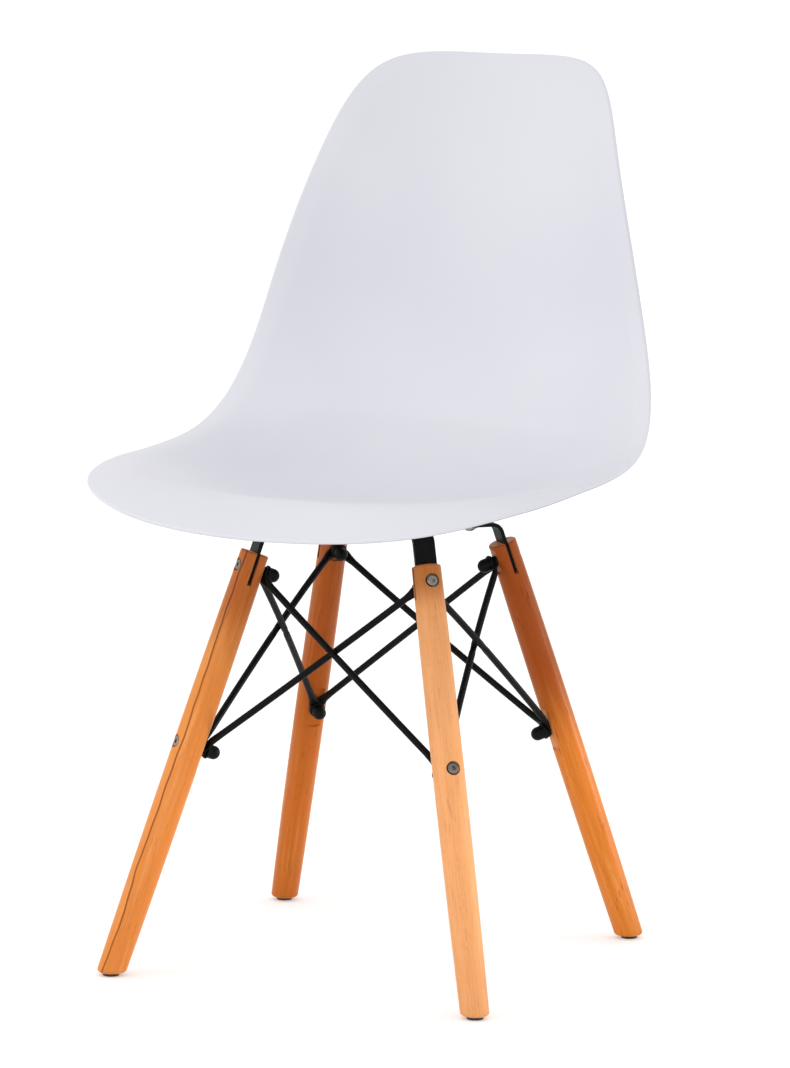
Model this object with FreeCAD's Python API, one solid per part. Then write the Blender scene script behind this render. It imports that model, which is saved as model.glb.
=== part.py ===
import FreeCAD
import Part
import math
import os

# Moulded shell chair: a plastic shell on two crossing steel bars, four leaning wooden legs and
# eight brace rods. Millimetres. The front is -Y, +X is on the right seen from the front, Z is up.
# Everything is drawn about the middle of the legs, and moved at the end, so that the origin is on
# the floor in the middle of the shell's depth.

Vector = FreeCAD.Vector
Rotation = FreeCAD.Rotation
Placement = FreeCAD.Placement

# Legs: each axis leans outwards along a diagonal of the chair; the spread angle is the diagonals'
# angle from the side-to-side direction, and the radii are from the middle of the legs to the axes
leg_spread_angle = 45.0
leg_top_height = 380.0
leg_top_radius = 119.5
leg_end_radius = 254.5
leg_top_diameter = 26.0
leg_middle_diameter = 28.5
leg_foot_diameter = 25.5
leg_top_rounding = 1.5
leg_foot_rounding = 3.0

# Glides under the feet, each held by one nail
glide_diameter = 15.0
glide_thickness = 3.0
glide_rounding = 0.8
nail_diameter = 2.4
nail_length = 20.0
nail_head_diameter = 6.0
nail_head_thickness = 1.2
nail_recess = 0.8
nail_clearance = 0.1

# Flat steel bars that cross under the seat and end in the slots of the legs; the rise is the upper
# bar's top over the legs' tops, and the rivet's collar fills the gap between the bars
bar_width = 20.0
bar_thickness = 3.5
bar_bend_radius = 8.0
bar_reach = 28.5
bar_rise = 27.5
bar_gap = 5.0
slot_side_gap = 0.2
slot_end_gap = 1.5
rivet_diameter = 6.0
rivet_head_diameter = 11.0
rivet_head_height = 2.2
rivet_collar_diameter = 14.0
rivet_clearance = 0.1

# Leg bolts: places measured down the leg's axis from its top
upper_bolt_place = 15.0
lower_bolt_place = 183.5
bolt_diameter = 6.0
bolt_clearance = 0.25
thread_clearance = 0.125
bolt_head_diameter = 10.4
bolt_head_height = 3.6
bolt_head_rounding = 1.3
bolt_socket_width = 4.0
bolt_socket_depth = 2.2
counterbore_diameter = 12.8
counterbore_depth = 5.6
leg_washer_diameter = 12.2
leg_washer_thickness = 1.0
upper_spot_face_diameter = 25.0
lower_spot_face_diameter = 42.0
spot_face_depth = 2.0

# Dome nuts on the legs' inner side
nut_flange_diameter = 15.0
nut_flange_thickness = 2.2
nut_dome_diameter = 12.6
nut_length = 13.5
nut_grip = 9.0
nut_space = 1.0
nut_rim_rounding = 0.9

# Brace rods: straight, with both ends flattened into a drilled tab
rod_diameter = 6.2
rod_gap = 0.5
rod_middle_inset = 19.2
tab_width = 10.0
tab_thickness = 2.5
tab_end = 7.0
tab_length = 9.6
bend_place = 11.3
neck_length = 9.0
tab_hole_clearance = 0.25

# Seat fixings: screws through the bars and pads into inserts in the shell's bosses. The inset is from
# the legs' tops towards the middle, which keeps the washers clear of the bars' bends
fixing_inset = 32.0
fixing_radius = leg_top_radius - fixing_inset
pad_diameter = 24.0
upper_pad_thickness = 2.0
screw_diameter = 6.0
screw_clearance = 0.3
screw_grip = 7.0
screw_head_diameter = 12.5
screw_head_height = 3.4
screw_socket_width = 4.0
screw_socket_depth = 2.0
screw_washer_diameter = 15.0
screw_washer_thickness = 1.2
insert_diameter = 9.0
insert_length = 8.5
boss_diameter = 20.0
boss_flare_diameter = 28.0
boss_straight = 5.0
boss_end_space = 1.0

# Shell: a sheet of even thickness on a side-view line, with sides that rise and a rim that rolls
# down
shell_thickness = 4.5
# Side view of the middle of the seat and back, from the front edge to the top edge:
# (Y, height over the bosses' lower ends)
side_line = [
    (-251.0, 39.5),
    (-202.0, 39.0),
    (-158.5, 32.0),
    (-80.5, 18.0),
    (9.0, 10.0),
    (79.0, 15.0),
    (135.0, 39.5),
    (179.0, 93.5),
    (201.5, 191.0),
    (219.0, 308.5),
    (259.0, 408.5),
]
# Half of the flat outline, from the middle of the front edge to the middle of the top edge:
# (distance to the side, distance along the side-view line)
half_outline = [
    (0.0, 0.0),
    (98.5, 10.5),
    (161.5, 33.5),
    (201.5, 68.0),
    (224.5, 126.5),
    (228.5, 209.5),
    (224.5, 319.0),
    (210.0, 455.0),
    (181.0, 598.0),
    (145.5, 717.0),
    (106.5, 792.5),
    (0.0, 814.0),
]
# Rise of the sides at the reference half width, and the half width itself, along the line
side_rise = [
    (0.0, 17.0),
    (90.0, 30.0),
    (200.0, 46.5),
    (320.0, 56.0),
    (450.0, 59.5),
    (600.0, 63.0),
    (816.0, 66.0),
]
half_width = [
    (0.0, 225.0),
    (204.0, 230.0),
    (408.0, 222.0),
    (612.0, 197.0),
    (816.0, 170.0),
]
side_power = 2.4
# How far the rim rolls down, and over what width, along the line
roll_depth = [
    (0.0, 29.5),
    (90.0, 18.0),
    (200.0, 12.0),
    (320.0, 9.5),
    (450.0, 5.5),
    (600.0, 4.0),
    (816.0, 3.0),
]
roll_width = [
    (0.0, 83.0),
    (90.0, 61.0),
    (200.0, 40.0),
    (320.0, 26.0),
    (450.0, 24.5),
    (600.0, 23.0),
    (816.0, 23.0),
]
roll_power = 2.3
# How closely the curved surface is sampled
sample_step_along = 17.0
sample_step_across = 12.5
sample_margin = 14.0
rim_samples = 100
# How closely the shell's depth is measured to find its middle
middle_accuracy = 0.5

# How closely edges are told apart by their places
tolerance = 0.01

# Sizes that follow from those above
lean = math.atan2(leg_end_radius - leg_top_radius, leg_top_height)
leg_length = math.hypot(leg_end_radius - leg_top_radius, leg_top_height)
upper_bar_top = leg_top_height + bar_rise
lower_bar_top = upper_bar_top - bar_thickness - bar_gap
boss_base = upper_bar_top + upper_pad_thickness
slot_depth = bar_reach + slot_end_gap
# Where the legs' axes meet the tops of the glides
foot_radius = leg_end_radius - glide_thickness * math.tan(lean)
leg_angles = {
    "front_left": 180.0 + leg_spread_angle,
    "front_right": 360.0 - leg_spread_angle,
    "back_right": leg_spread_angle,
    "back_left": 180.0 - leg_spread_angle,
}
leg_order = ["front_left", "front_right", "back_right", "back_left"]


def turned(shape, angle):
    # A copy turned about the chair's upright middle line
    copy = shape.copy()
    copy.rotate(Vector(0, 0, 0), Vector(0, 0, 1), angle)
    return copy


def leg_place():
    # From a leg's own frame to the chair's XZ plane: Z up the axis from the top, X outwards, Y across
    leaning = Rotation(Vector(0, 1, 0), -math.degrees(lean))
    return Placement(Vector(leg_top_radius, 0, leg_top_height), leaning)


def in_leg(shape):
    # A copy of a shape drawn in a leg's own frame, placed on the leg in the chair's XZ plane
    copy = shape.copy()
    copy.Placement = leg_place().multiply(copy.Placement)
    return copy


def rod_along_x(radius, start, end, height):
    # Cylinder along X between two places, at a height
    return Part.makeCylinder(radius, end - start, Vector(start, 0, height), Vector(1, 0, 0))


def hexagon_along(width, depth, base, direction):
    # Hexagonal prism for a socket, from a base point along a direction
    reach = width / math.sqrt(3.0)
    corners = []
    for corner in range(7):
        turn = math.radians(60.0 * corner)
        corners.append(Vector(reach * math.cos(turn), reach * math.sin(turn), 0))
    prism = Part.Face(Part.makePolygon(corners)).extrude(Vector(0, 0, depth))
    prism.Placement = Placement(base, Rotation(Vector(0, 0, 1), direction))
    return prism


def leg_radius(place):
    # The leg swells evenly from its top to its middle and narrows again to its foot
    share = place / leg_length
    swell = 2.0 * leg_middle_diameter - 0.5 * (leg_top_diameter + leg_foot_diameter)
    diameter = (1 - share) ** 2 * leg_top_diameter + 2 * share * (1 - share) * swell
    return 0.5 * (diameter + share ** 2 * leg_foot_diameter)


def turned_leg():
    # The round leg before it is cut to length, with its top rounded
    full = leg_length + leg_foot_diameter * math.tan(lean)
    swell = 2.0 * leg_radius(full / 2) - 0.5 * (leg_radius(0) + leg_radius(full))
    curve = Part.BezierCurve()
    top_rim = Vector(leg_radius(0), 0, 0)
    end_rim = Vector(leg_radius(full), 0, -full)
    curve.setPoles([top_rim, Vector(swell, 0, -full / 2), end_rim])
    top_line = Part.makeLine(Vector(0, 0, 0), top_rim)
    end_line = Part.makeLine(end_rim, Vector(0, 0, -full))
    axis_line = Part.makeLine(Vector(0, 0, -full), Vector(0, 0, 0))
    face = Part.Face(Part.Wire([top_line, curve.toShape(), end_line, axis_line]))
    body = face.revolve(Vector(0, 0, 0), Vector(0, 0, 1), 360)
    rims = []
    for edge in body.Edges:
        if abs(edge.BoundBox.ZMin) < tolerance and edge.Length > leg_top_diameter:
            rims.append(edge)
    return body.makeFillet(leg_top_rounding, rims)


def bolt_cuts(place, spot_diameter):
    # Through hole, outer counterbore and inner spot face at one bolt
    radius = leg_radius(place)
    outside = radius + bolt_head_diameter
    hole = rod_along_x(bolt_diameter / 2 + bolt_clearance, -outside, outside, -place)
    sink = rod_along_x(counterbore_diameter / 2, radius - counterbore_depth, outside, -place)
    spot = rod_along_x(spot_diameter / 2, -outside, spot_face_depth - radius, -place)
    return [hole, sink, spot]


def nail_shape(gap):
    # One nail pointing up into the foot, or the room for it when a gap is given
    head_base = Vector(foot_radius, 0, nail_recess - gap)
    head = Part.makeCylinder(nail_head_diameter / 2 + gap, nail_head_thickness + gap, head_base)
    shank_base = Vector(foot_radius, 0, nail_recess)
    shank = Part.makeCylinder(nail_diameter / 2 + gap, nail_length + gap, shank_base)
    return head.fuse(shank)


def leg():
    # One wooden leg in the chair's XZ plane, slotted, drilled and cut level with the floor
    body = turned_leg()
    slot_width = bar_thickness + 2 * slot_side_gap
    corner = Vector(-slot_width / 2, -leg_top_diameter, -slot_depth)
    slot = Part.makeBox(slot_width, 2 * leg_top_diameter, slot_depth + leg_top_rounding, corner)
    upper_cuts = bolt_cuts(upper_bolt_place, upper_spot_face_diameter)
    lower_cuts = bolt_cuts(lower_bolt_place, lower_spot_face_diameter)
    body = body.cut([slot] + upper_cuts + lower_cuts)
    body = in_leg(body)
    room = 3 * leg_foot_diameter
    below = Vector(leg_end_radius - room / 2, -room / 2, glide_thickness - room)
    body = body.cut(Part.makeBox(room, room, room, below))
    soles = [face for face in body.Faces if face.BoundBox.ZMax < glide_thickness + tolerance]
    body = body.makeFillet(leg_foot_rounding, soles[0].OuterWire.Edges)
    return body.cut(nail_shape(nail_clearance))


def glide():
    # One foot glide with the recess for its nail
    centre = Vector(foot_radius, 0, 0)
    disc = Part.makeCylinder(glide_diameter / 2, glide_thickness, centre)
    rim = [edge for edge in disc.Edges if edge.BoundBox.ZMax < tolerance]
    disc = disc.makeFillet(glide_rounding, rim)
    recess = Part.makeCylinder(nail_head_diameter / 2 + nail_clearance, nail_recess, centre)
    return disc.cut([recess, nail_shape(nail_clearance)])


def bar_outline(top):
    # Side view of one bar: level in the middle, both ends bent down along the legs
    middle = top - bar_thickness / 2
    half = bar_thickness / 2
    along = Vector(math.sin(lean), 0, -math.cos(lean))
    out = Vector(math.cos(lean), 0, math.sin(lean))
    bend = Vector(leg_top_radius - math.tan(lean) * (middle - leg_top_height), 0, middle)
    tip = Vector(leg_top_radius, 0, leg_top_height) + along * bar_reach
    mitre = (1 - math.sin(lean)) * half / math.cos(lean)
    right = [
        bend + out * half - along * mitre,
        tip + out * half,
        tip - out * half,
        bend - out * half + along * mitre,
    ]
    left = [Vector(-point.x, 0, point.z) for point in reversed(right)]
    return right + left


def bar(top):
    # One bent flat bar with its holes, along X
    points = bar_outline(top)
    face = Part.Face(Part.makePolygon(points + points[:1]))
    body = face.extrude(Vector(0, bar_width, 0))
    body.translate(Vector(0, -bar_width / 2, 0))
    outer = Vector(points[0])
    inner = Vector(points[3])
    for corner, radius in ((outer, bar_bend_radius + bar_thickness), (inner, bar_bend_radius)):
        edges = []
        for edge in body.Edges:
            centre = edge.BoundBox.Center
            near = abs(abs(centre.x) - corner.x) < tolerance and abs(centre.z - corner.z) < tolerance
            if near and edge.BoundBox.YLength > bar_width / 2:
                edges.append(edge)
        body = body.makeFillet(radius, edges)
    bolt_radius = bolt_diameter / 2 + bolt_clearance
    bolt_hole = in_leg(rod_along_x(bolt_radius, -bar_width, bar_width, -upper_bolt_place))
    screw_base = Vector(fixing_radius, 0, top - bar_width / 2)
    screw_hole = Part.makeCylinder(screw_diameter / 2 + screw_clearance, bar_width, screw_base)
    rivet_base = Vector(0, 0, top - bar_width / 2)
    rivet_hole = Part.makeCylinder(rivet_diameter / 2 + rivet_clearance, bar_width, rivet_base)
    cuts = [rivet_hole]
    for side in (0, 180):
        cuts.append(turned(bolt_hole, side))
        cuts.append(turned(screw_hole, side))
    return body.cut(cuts)


def dome(diameter, height, centre, direction):
    # Low round cap: a slice of a ball on a flat base
    half = diameter / 2
    ball = (half ** 2 + height ** 2) / (2 * height)
    top = Vector(0, 0, height)
    side = Vector(half, 0, 0)
    turn = math.asin(min(1.0, half / ball)) / 2
    between = Vector(ball * math.sin(turn), 0, height - ball + ball * math.cos(turn))
    arc = Part.Arc(top, between, side).toShape()
    base = Part.makeLine(side, Vector(0, 0, 0))
    axis = Part.makeLine(Vector(0, 0, 0), top)
    cap = Part.Face(Part.Wire([arc, base, axis])).revolve(Vector(0, 0, 0), Vector(0, 0, 1), 360)
    cap.Placement = Placement(centre, Rotation(Vector(0, 0, 1), direction))
    return cap


def rivet():
    # Rivet through both bars where they cross, with a collar that keeps them apart
    low = lower_bar_top - bar_thickness
    shank = Part.makeCylinder(rivet_diameter / 2, upper_bar_top - low, Vector(0, 0, low))
    collar = Part.makeCylinder(rivet_collar_diameter / 2, bar_gap, Vector(0, 0, lower_bar_top))
    high = Vector(0, 0, upper_bar_top)
    upper_head = dome(rivet_head_diameter, rivet_head_height, high, Vector(0, 0, 1))
    lower_head = dome(rivet_head_diameter, rivet_head_height, Vector(0, 0, low), Vector(0, 0, -1))
    return shank.fuse([collar, upper_head, lower_head]).removeSplitter()


def nut_seat(place):
    # How far in from the leg's axis the dome nut starts, past both rod tabs
    return leg_radius(place) - spot_face_depth + 2 * tab_thickness


def leg_bolt(place):
    # Round-headed bolt with a hexagonal socket, in the leg's own frame
    seat = leg_radius(place) - counterbore_depth + leg_washer_thickness
    head = rod_along_x(bolt_head_diameter / 2, seat, seat + bolt_head_height, -place)
    outside = seat + bolt_head_height
    crown = [edge for edge in head.Edges if edge.BoundBox.XMin > outside - tolerance]
    head = head.makeFillet(bolt_head_rounding, crown)
    shank = rod_along_x(bolt_diameter / 2, -nut_seat(place) - nut_grip, seat, -place)
    socket_base = Vector(outside, 0, -place)
    socket = hexagon_along(bolt_socket_width, bolt_socket_depth, socket_base, Vector(-1, 0, 0))
    return in_leg(head.fuse(shank).cut(socket))


def leg_washer(place):
    # Washer at the bottom of the counterbore
    seat = leg_radius(place) - counterbore_depth
    disc = rod_along_x(leg_washer_diameter / 2, seat, seat + leg_washer_thickness, -place)
    hole = rod_along_x(bolt_diameter / 2 + bolt_clearance, 0, 2 * seat, -place)
    return in_leg(disc.cut(hole))


def dome_nut(place):
    # Flanged dome nut over the bolt's end
    seat = nut_seat(place)
    flange = rod_along_x(nut_flange_diameter / 2, -seat - nut_flange_thickness, -seat, -place)
    outside = -seat - nut_flange_thickness
    rim = [edge for edge in flange.Edges if edge.BoundBox.XMax < outside + tolerance]
    flange = flange.makeFillet(nut_rim_rounding, rim)
    straight = nut_length - nut_dome_diameter / 2
    barrel = rod_along_x(nut_dome_diameter / 2, -seat - straight, -seat, -place)
    ball = Part.makeSphere(nut_dome_diameter / 2, Vector(-seat - straight, 0, -place))
    depth = nut_grip + nut_space
    bore = rod_along_x(bolt_diameter / 2 + thread_clearance, -seat - depth, -seat, -place)
    return in_leg(flange.fuse([barrel, ball]).cut(bore))


def bolt_point(leg_name, place, inset):
    # Point on a bolt's axis, an inset in from the leg's own axis
    point = leg_place().multVec(Vector(-inset, 0, -place))
    return Rotation(Vector(0, 0, 1), leg_angles[leg_name]).multVec(point)


def inward(leg_name):
    # Unit direction of a leg's bolts, from outside to inside
    direction = leg_place().Rotation.multVec(Vector(-1, 0, 0))
    return Rotation(Vector(0, 0, 1), leg_angles[leg_name]).multVec(direction)


def rod_shift(first, second):
    # Half of what two crossing rods on a side must be apart, measured along the legs' bolts
    corners = [bolt_point(first, upper_bolt_place, 0), bolt_point(second, lower_bolt_place, 0)]
    other = [bolt_point(second, upper_bolt_place, 0), bolt_point(first, lower_bolt_place, 0)]
    normal = (corners[1] - corners[0]).cross(other[1] - other[0])
    normal.normalize()
    return 0.5 * (rod_diameter + rod_gap) / abs(normal.dot(inward(first)))


def ring_wire(points, centre, straight):
    # Closed wire of four edges through four corners: straight, or as arcs about a centre
    edges = []
    for index, start in enumerate(points):
        end = points[(index + 1) % len(points)]
        if straight:
            edges.append(Part.makeLine(start, end))
        else:
            middle = (start + end) * 0.5 - centre
            middle.normalize()
            edges.append(Part.Arc(start, centre + middle * (rod_diameter / 2), end).toShape())
    return Part.Wire(edges)


def rod_end(leg_name, place, layer, bolt_side, bend, far_bend):
    # Flattened tab on its bolt, and the neck where it turns into the round rod
    into = inward(leg_name)
    low = leg_radius(place) - spot_face_depth + layer * tab_thickness
    centre = bolt_point(leg_name, place, low)
    along = bolt_side
    across = into.cross(along)
    rounding = tab_width / 2
    tail = centre - along * (tab_end - rounding)
    head = centre + along * tab_length
    half = across * rounding
    corners = [tail + half, tail - half, head - half, head + half]
    plate = Part.Face(Part.makePolygon(corners + corners[:1])).extrude(into * tab_thickness)
    plate = plate.fuse(Part.makeCylinder(rounding, tab_thickness, tail, into))
    before = centre - into * tab_thickness
    hole = Part.makeCylinder(bolt_diameter / 2 + tab_hole_clearance, 3 * tab_thickness, before, into)
    plate = plate.cut(hole).removeSplitter()
    along_rod = far_bend - bend
    along_rod.normalize()
    start = bend + along_rod * neck_length
    side = across - along_rod * across.dot(along_rod)
    side.normalize()
    rise = side.cross(along_rod)
    if rise.dot(into) < 0:
        rise = rise * -1
    reach = rod_diameter / 2 / math.sqrt(2.0)
    round_corners = []
    flat_corners = []
    for right, high in ((1, 0), (1, 1), (-1, 1), (-1, 0)):
        flat_corners.append(head + half * right + into * (tab_thickness * high))
        round_corners.append(start + side * (reach * right) + rise * (reach * (2 * high - 1)))
    flat = ring_wire(flat_corners, centre, True)
    ring = ring_wire(round_corners, start, False)
    neck = Part.makeLoft([flat, ring], True, True)
    return plate, neck, start


def brace(first, second, layer):
    # One rod from the upper bolt of the first leg to the lower bolt of the second
    sign = 1 if layer else -1
    inset = rod_middle_inset + sign * rod_shift(first, second)
    high = bolt_point(first, upper_bolt_place, inset)
    low = bolt_point(second, lower_bolt_place, inset)
    high_side = low - high
    high_side = high_side - inward(first) * high_side.dot(inward(first))
    high_side.normalize()
    low_side = high - low
    low_side = low_side - inward(second) * low_side.dot(inward(second))
    low_side.normalize()
    high_bend = high + high_side * bend_place
    low_bend = low + low_side * bend_place
    top_plate, top_neck, top = rod_end(first, upper_bolt_place, layer, high_side, high_bend, low_bend)
    end_plate, end_neck, end = rod_end(second, lower_bolt_place, layer, low_side, low_bend, high_bend)
    shaft = Part.makeCylinder(rod_diameter / 2, (end - top).Length, top, end - top)
    return shaft.fuse([top_neck, top_plate, end_neck, end_plate])


def smooth(stations, place):
    # Smooth value at a place between (place, value) stations, without overshoot
    if place <= stations[0][0]:
        return stations[0][1]
    if place >= stations[-1][0]:
        return stations[-1][1]
    slopes = []
    for (a, low), (b, high) in zip(stations, stations[1:]):
        slopes.append((high - low) / (b - a))
    tangents = [slopes[0]]
    for before, after in zip(slopes, slopes[1:]):
        tangents.append(2 * before * after / (before + after) if before * after > 0 else 0.0)
    tangents.append(slopes[-1])
    index = max(i for i, station in enumerate(stations[:-1]) if place >= station[0])
    (a, low), (b, high) = stations[index], stations[index + 1]
    step = b - a
    t = (place - a) / step
    value = (1 + 2 * t) * (1 - t) ** 2 * low + t * t * (3 - 2 * t) * high
    bend = (1 - t) * tangents[index] - t * tangents[index + 1]
    return value + t * (1 - t) * step * bend


class Shell:
    # The seat and back as one curved sheet over flat (across, along) places

    def __init__(self):
        self.middle = Part.BSplineCurve()
        self.middle.interpolate([Vector(0, y, boss_base + height) for y, height in side_line])
        self.length = self.middle.length()
        self.stretch = self.length / half_outline[-1][1]
        right = [Vector(across, along * self.stretch, 0) for across, along in half_outline]
        left = [Vector(-point.x, point.y, 0) for point in reversed(right[1:-1])]
        self.rim = Part.BSplineCurve()
        self.rim.interpolate(right + left, PeriodicFlag=True)
        self.rim_points = self.rim.discretize(rim_samples * 4)

    def line_at(self, along):
        # Point, direction and upward normal of the side-view line
        inside = min(max(along, 0.0), self.length)
        parameter = self.middle.parameterAtDistance(inside, self.middle.FirstParameter)
        direction = Vector(self.middle.tangent(parameter)[0])
        direction.normalize()
        point = self.middle.value(parameter) + direction * (along - inside)
        return point, direction, Vector(0, -direction.z, direction.y)

    def rim_distance(self, across, along):
        # Distance to the outline in the flat, below zero outside it
        best = None
        for index, point in enumerate(self.rim_points):
            gap = (point.x - across) ** 2 + (point.y - along) ** 2
            if best is None or gap < best[0]:
                best = (gap, index)
        count = len(self.rim_points)
        here = self.rim_points[best[1]]
        step = self.rim_points[(best[1] + 1) % count] - self.rim_points[best[1] - 1]
        turn = step.x * (along - here.y) - step.y * (across - here.x)
        return math.sqrt(best[0]) * (1 if turn > 0 else -1)

    def lift(self, across, along):
        # Height of the sheet over the side-view line: rising sides less the rolled rim
        place = along / self.stretch
        rise = smooth(side_rise, place) * abs(across / smooth(half_width, place)) ** side_power
        inside = 1 - self.rim_distance(across, along) / smooth(roll_width, place)
        if inside <= 0:
            return rise
        roll = inside ** roll_power if inside <= 1 else 1 + roll_power * (inside - 1)
        return rise - smooth(roll_depth, place) * roll

    def point(self, across, along):
        # Point of the upper face
        base, direction, up = self.line_at(along)
        return base + Vector(across, 0, 0) + up * self.lift(across, along)

    def normal(self, across, along):
        # Unit normal of the upper face, pointing away from the floor and the back's rear
        step = 1.0
        over = self.point(across + step, along) - self.point(across - step, along)
        on = self.point(across, along + step) - self.point(across, along - step)
        result = over.cross(on)
        result.normalize()
        return result

    def over(self, x, y):
        # Point and normal of the upper face straight above a place on the floor, found by halving
        low = 0.0
        high = 0.5 * self.length
        while high - low > tolerance:
            middle = 0.5 * (low + high)
            if self.point(x, middle).y < y:
                low = middle
            else:
                high = middle
        return self.point(x, low), self.normal(x, low)

    def surfaces(self):
        # Curved surfaces at the top and the bottom of the sheet
        widest = max(across for across, along in half_outline) + sample_margin
        columns = 2 * int(math.ceil(widest / sample_step_across)) + 1
        rows = int(math.ceil((self.length + 2 * sample_margin) / sample_step_along)) + 1
        grid = []
        for row in range(-1, rows + 1):
            along = -sample_margin + (self.length + 2 * sample_margin) * row / (rows - 1)
            line = []
            for column in range(-1, columns + 1):
                across = -widest + 2 * widest * column / (columns - 1)
                line.append(self.point(across, along))
            grid.append(line)
        upper = []
        lower = []
        for row in range(1, rows + 1):
            under = []
            for column in range(1, columns + 1):
                over = grid[row][column + 1] - grid[row][column - 1]
                normal = over.cross(grid[row + 1][column] - grid[row - 1][column])
                normal.normalize()
                under.append(grid[row][column] - normal * shell_thickness)
            upper.append(grid[row][1:-1])
            lower.append(under)
        found = []
        for points in (upper, lower):
            surface = Part.BSplineSurface()
            surface.interpolate(points)
            found.append(surface)
        return found

    def trimmed(self, surface, depth):
        # The part of a surface inside the outline
        places = []
        for index in range(rim_samples):
            share = index / rim_samples
            first, last = self.rim.FirstParameter, self.rim.LastParameter
            flat = self.rim.value(first + (last - first) * share)
            point = self.point(flat.x, flat.y) - self.normal(flat.x, flat.y) * (shell_thickness * depth)
            u, v = surface.projectPoint(point, "LowerDistanceParameters")
            places.append(FreeCAD.Base.Vector2d(u, v))
        curve = Part.Geom2d.BSplineCurve2d()
        curve.interpolate(places, PeriodicFlag=True)
        return Part.Face(surface, Part.Wire([curve.toShape(surface)]))

    def sheet(self):
        # The closed sheet: both faces and the rim between them
        upper, lower = self.surfaces()
        upper_face = self.trimmed(upper, 0.0)
        lower_face = self.trimmed(lower, 1.0)
        rim = Part.makeRuledSurface(upper_face.OuterWire.Edges[0], lower_face.OuterWire.Edges[0])
        closed = Part.makeShell([upper_face, lower_face] + rim.Faces)
        closed.sewShape()
        body = Part.makeSolid(closed)
        if body.Volume < 0:
            body.reverse()
        return body


def boss(sheet, x, y):
    # Round boss that flares out into the sheet, down to the pads
    point, normal = sheet.over(x, y)
    inside = point - normal * (shell_thickness / 2)
    tall = inside.z + boss_diameter - boss_base
    flare_height = inside.z - boss_base - boss_straight
    slope = (boss_flare_diameter - boss_diameter) / (2 * flare_height)
    post = Part.makeCylinder(boss_diameter / 2, tall, Vector(x, y, boss_base))
    flare_base = Vector(x, y, boss_base + boss_straight)
    flare_top = boss_diameter / 2 + slope * (tall - boss_straight)
    flare = Part.makeCone(boss_diameter / 2, flare_top, tall - boss_straight, flare_base)
    room = 4 * boss_flare_diameter
    above = Part.makeBox(room, room, room, Vector(-room / 2, -room / 2, 0))
    above.Placement = Placement(inside, Rotation(Vector(0, 0, 1), normal))
    return post.fuse(flare).cut(above)


def seat_shell():
    # The moulded shell with its four bosses and the holes for the inserts
    sheet = Shell()
    body = sheet.sheet()
    bosses = []
    holes = []
    for x, y in fixing_points():
        bosses.append(boss(sheet, x, y))
        depth = insert_length + boss_end_space
        holes.append(Part.makeCylinder(insert_diameter / 2, depth, Vector(x, y, boss_base)))
    return body.fuse(bosses).cut(holes)


def fixing_points():
    # The four places of the seat screws: those of the upper bar first
    places = []
    for name in ("front_right", "back_left", "back_right", "front_left"):
        turn = math.radians(leg_angles[name])
        places.append((fixing_radius * math.cos(turn), fixing_radius * math.sin(turn)))
    return places


def insert(x, y):
    # Threaded insert in a boss
    base = Vector(x, y, boss_base)
    ring = Part.makeCylinder(insert_diameter / 2, insert_length, base)
    return ring.cut(Part.makeCylinder(screw_diameter / 2 + thread_clearance, insert_length, base))


def pad(x, y, bar_top):
    # Rubber pad between a bar and a boss
    base = Vector(x, y, bar_top)
    thickness = boss_base - bar_top
    disc = Part.makeCylinder(pad_diameter / 2, thickness, base)
    return disc.cut(Part.makeCylinder(screw_diameter / 2 + screw_clearance, thickness, base))


def screw_washer(x, y, bar_top):
    # Washer under a bar
    base = Vector(x, y, bar_top - bar_thickness - screw_washer_thickness)
    disc = Part.makeCylinder(screw_washer_diameter / 2, screw_washer_thickness, base)
    hole = Part.makeCylinder(screw_diameter / 2 + screw_clearance, screw_washer_thickness, base)
    return disc.cut(hole)


def seat_screw(x, y, bar_top):
    # Round-headed screw from below, through a bar and a pad into the insert
    seat = bar_top - bar_thickness - screw_washer_thickness
    head = dome(screw_head_diameter, screw_head_height, Vector(x, y, seat), Vector(0, 0, -1))
    shank = Part.makeCylinder(screw_diameter / 2, boss_base + screw_grip - seat, Vector(x, y, seat))
    base = Vector(x, y, seat - screw_head_height)
    socket = hexagon_along(screw_socket_width, screw_socket_depth, base, Vector(0, 0, 1))
    return head.fuse(shank).cut(socket)


def four_times(shape):
    # The same piece on all four legs
    return Part.makeCompound([turned(shape, leg_angles[name]) for name in leg_order])


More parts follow.
